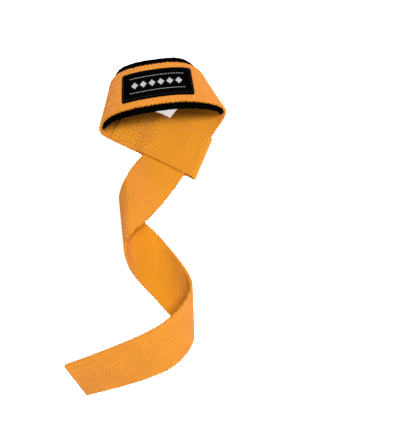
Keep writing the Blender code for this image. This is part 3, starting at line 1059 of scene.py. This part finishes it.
class STRAP_OT_flap_stitching(Operator):
    """Sews the folded-back flap down with a crossed box"""

    bl_idname = "strap.flap_stitching"
    bl_label = "Sew the flap"

    def execute(self, context):
        settings = context.scene.strap_sewing
        ribbon = Ribbon()
        near = ribbon.flap_place(FLAP_NEAR_SEAM)
        middle = ribbon.flap_place(FLAP_MIDDLE_SEAM)
        far = ribbon.flap_place(FLAP_FAR_SEAM)
        half = FLAP_SEAM_HALF_WIDTH
        paths = [
            [(near, -half), (far, -half), (far, half), (near, half), (near, -half)],
            [(near, -half), (far, half)],
            [(near, half), (far, -half)],
            [(middle, -half), (middle, half)],
        ]
        stitches = []
        for path in paths:
            stitches += sewn_path(path, settings.stitch, 0.74)
        lift = -(context.scene.strap_webbing.thickness / 2 + 0.00004)
        # The second finish paints shade at the needle holes.
        finishes = [thread_finish("flap thread", tuple(settings.colour)),
                    thread_finish("needle dip", tuple(settings.dip_shade_colour), 0.95)]
        piece = sewn_threads("flap_stitching", ribbon, stitches, lift, settings.thread / 2,
                             finishes, settings.dip)
        piece.parent = bpy.data.objects[WEBBING]
        return {"FINISHED"}


class STRAP_OT_pad_stitching(Operator):
    """Sews the pad to the wrist part along both edges of the webbing"""

    bl_idname = "strap.pad_stitching"
    bl_label = "Sew the pad"

    def execute(self, context):
        settings = context.scene.strap_sewing
        ribbon = Ribbon()
        start, end = ribbon.pad_span()
        side = context.scene.strap_webbing.width / 2 - PAD_SEAM_INSET
        cut_side = side * PAD_SEAM_CORNER_SHARE
        start = start + PAD_SEAM_END
        end = end - PAD_SEAM_END
        after_start = start + PAD_SEAM_CORNER
        before_end = end - PAD_SEAM_CORNER
        path = [(start, -cut_side), (after_start, -side), (before_end, -side),
                (end, -cut_side), (end, cut_side), (before_end, side),
                (after_start, side), (start, cut_side)]
        stitches = sewn_path(path, settings.stitch * 0.8, 0.76, closed=True)
        face = context.scene.strap_webbing.thickness / 2
        back = face + PAD_GAP + context.scene.strap_pad.thickness
        finish = thread_finish("pad thread", shade(tuple(settings.colour), 0.9))
        # Painted shade at the needle holes, lighter than on the flap.
        dips = thread_finish("pad needle dip", shade(tuple(settings.dip_shade_colour), 1.6), 0.95)
        radius = settings.thread * 0.36
        outer = sewn_threads("pad_stitching_outside", ribbon, stitches, -(face + THREAD_CLEARANCE),
                             radius, [finish, dips], settings.dip * 0.6)
        inner = sewn_threads("pad_stitching_inside", ribbon, stitches, back - 0.0002,
                             radius, [finish])
        outer.parent = bpy.data.objects[WEBBING]
        inner.parent = bpy.data.objects[PAD]
        return {"FINISHED"}


class STRAP_OT_patch_stitching(Operator):
    """Sews the patch down and works a row of plain diamonds on it"""

    bl_idname = "strap.patch_stitching"
    bl_label = "Sew the patch"

    def execute(self, context):
        settings = context.scene.strap_patch
        ribbon = Ribbon()
        start, end = ribbon.patch_span()
        half = settings.width / 2
        lift = -(LAID_THICKNESS / 2 + PATCH_GAP + settings.thickness + 0.00002)
        inset = PATCH_SEAM_INSET
        border = [(start + inset, -half + inset), (end - inset, -half + inset),
                  (end - inset, half - inset), (start + inset, half - inset)]
        stitches = sewn_path(border, PATCH_STITCH, 0.78, closed=True)
        black = thread_finish("patch thread", shade(tuple(settings.colour), 2.0), 0.6)
        edge = sewn_threads("patch_stitching", ribbon, stitches, lift, 0.00018, [black],
                            square=True)
        grey = thread_finish("diamond thread", tuple(settings.ornament_colour), 0.6)
        worked = self.diamonds(start + DIAMONDS_INSET, end - DIAMONDS_INSET)
        for side in (-LINE_SIDE, LINE_SIDE):
            line = [(start + LINE_INSET, side), (end - LINE_INSET, side)]
            worked += sewn_path(line, LINE_STITCH, 0.82)
        ornament = sewn_threads("patch_diamonds", ribbon, worked, lift, 0.00019, [grey],
                                square=True)
        patch = bpy.data.objects[PATCH]
        for piece in (edge, ornament):
            piece.parent = patch
        return {"FINISHED"}

    def diamonds(self, start, end):
        """Short satin stitches laid side by side in a row of diamonds."""
        pitch = (end - start) / DIAMONDS
        half_length = pitch * 0.40
        rows = int(round(2 * half_length / DIAMOND_STITCH_PITCH))
        stitches = []
        for i in range(DIAMONDS):
            middle = start + pitch * (i + 0.5)
            for share in np.linspace(-1.0, 1.0, rows + 2)[1:-1]:
                place = middle + share * half_length
                side = DIAMOND_REACH * (1 - abs(share))
                stitches.append((np.array([place, -side]), np.array([place, side])))
        return stitches


class STRAP_OT_cloth(Operator):
    """Works out the strip's length and the patch's span, and does nothing more with them"""

    bl_idname = "strap.cloth"
    bl_label = "Declare the cloth"

    def execute(self, context):
        total = Ribbon().keys[-1]
        start, end = Ribbon().patch_span()
        return {"FINISHED"}


class STRAP_OT_stage(Operator):
    """Lays the floor and sets the light and the camera"""

    bl_idname = "strap.stage"
    bl_label = "Set the stage"

    def execute(self, context):
        settings = context.scene.strap_stage
        context.scene.view_settings.view_transform = "Standard"
        self.lay_floor(settings)
        self.hang_lights(settings)
        self.place_camera(settings)
        return {"FINISHED"}

    def lay_floor(self, settings):
        """A wide plain floor, a hair under the strap."""
        mesh = bpy.data.meshes.new("floor")
        half = 4.0
        corners = [(-half, -half, 0.0), (half, -half, 0.0), (half, half, 0.0), (-half, half, 0.0)]
        mesh.from_pydata(corners, [], [(0, 1, 2, 3)])
        finish = Finish("pale floor", 0.9, 0.1)
        colour = tuple(settings.floor_colour)
        grain = finish.noise(finish.body(), 6.0)
        finish.put(finish.shader.inputs["Base Color"],
                   finish.blend(grain, shade(colour, 0.99), shade(colour, 1.01)))
        finish.shader.inputs["Emission Color"].default_value = (1.0, 1.0, 1.0, 1.0)
        finish.shader.inputs["Emission Strength"].default_value = settings.floor_glow
        mesh.materials.append(finish.material)
        floor = bpy.data.objects.new("floor", mesh)
        floor.location = (0.0, 0.0, -0.0002)
        bpy.context.scene.collection.objects.link(floor)

    def hang_lights(self, settings):
        """Soft light from all round, a broad lamp overhead and a weaker one beside it."""
        world = bpy.data.worlds.new("surround")
        world.use_nodes = True
        background = world.node_tree.nodes["Background"]
        background.inputs["Color"].default_value = (1.0, 1.0, 1.0, 1.0)
        background.inputs["Strength"].default_value = settings.surround
        bpy.context.scene.world = world
        lamps = (
            # name, x, y, z, size, power
            ("overhead lamp", 0.28, -0.15, 1.36, 0.35, 22.0),
            ("side lamp", 0.90, 0.10, 1.00, 0.8, 2.0),
        )
        for name, x, y, z, size, power in lamps:
            light = bpy.data.lights.new(name, "AREA")
            light.energy = power
            light.size = size
            lamp = bpy.data.objects.new(name, light)
            lamp.location = (x, y, z)
            lamp.rotation_euler = (-Vector((x, y, z))).to_track_quat("-Z", "Y").to_euler()
            bpy.context.scene.collection.objects.link(lamp)

    def place_camera(self, settings):
        """The camera, looking down along +Y at the middle of the picture."""
        data = bpy.data.cameras.new("camera")
        data.sensor_fit = "HORIZONTAL"
        data.sensor_width = 36.0
        data.angle = settings.view_width
        camera = bpy.data.objects.new("camera", data)
        target = Vector(VIEW_TARGET)
        away = Vector((0.0, -math.cos(settings.elevation), math.sin(settings.elevation)))
        camera.location = target + away * settings.distance
        camera.rotation_euler = (-away).to_track_quat("-Z", "Y").to_euler()
        bpy.context.scene.collection.objects.link(camera)
        bpy.context.scene.camera = camera


OPERATORS = (
    STRAP_OT_stage,
    STRAP_OT_webbing,
    STRAP_OT_pad,
    STRAP_OT_patch,
    STRAP_OT_flap_stitching,
    STRAP_OT_pad_stitching,
    STRAP_OT_patch_stitching,
    STRAP_OT_cloth,
)
SETTINGS = (
    ("strap_webbing", WebbingSettings),
    ("strap_pad", PadSettings),
    ("strap_patch", PatchSettings),
    ("strap_sewing", SewingSettings),
    ("strap_stage", StageSettings),
)


class STRAP_PT_sidebar(Panel):
    """Steps and settings of the strap"""

    bl_idname = "STRAP_PT_sidebar"
    bl_label = "Weightlifting Strap"
    bl_space_type = "VIEW_3D"
    bl_region_type = "UI"
    bl_category = "Strap"

    def draw(self, context):
        layout = self.layout
        for operator in OPERATORS:
            layout.operator(operator.bl_idname)
        for name, group in SETTINGS:
            box = layout.box()
            box.label(text=group.__doc__)
            settings = getattr(context.scene, name)
            for field in group.__annotations__:
                box.prop(settings, field)


def register():
    """Adds the settings, the steps and the sidebar to Blender."""
    for name, group in SETTINGS:
        bpy.utils.register_class(group)
        setattr(bpy.types.Scene, name, PointerProperty(type=group))
    for operator in OPERATORS:
        bpy.utils.register_class(operator)
    bpy.utils.register_class(STRAP_PT_sidebar)


def unregister():
    """Takes them out again."""
    bpy.utils.unregister_class(STRAP_PT_sidebar)
    for operator in reversed(OPERATORS):
        bpy.utils.unregister_class(operator)
    for name, group in reversed(SETTINGS):
        delattr(bpy.types.Scene, name)
        bpy.utils.unregister_class(group)


def main():
    """Builds the strap and its stage."""
    register()
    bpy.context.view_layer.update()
    bpy.ops.strap.stage()
    bpy.ops.strap.webbing()
    bpy.ops.strap.pad()
    bpy.ops.strap.patch()
    bpy.ops.strap.flap_stitching()
    bpy.ops.strap.pad_stitching()
    bpy.ops.strap.patch_stitching()
    bpy.ops.strap.cloth()


if __name__ == "__main__":
    main()
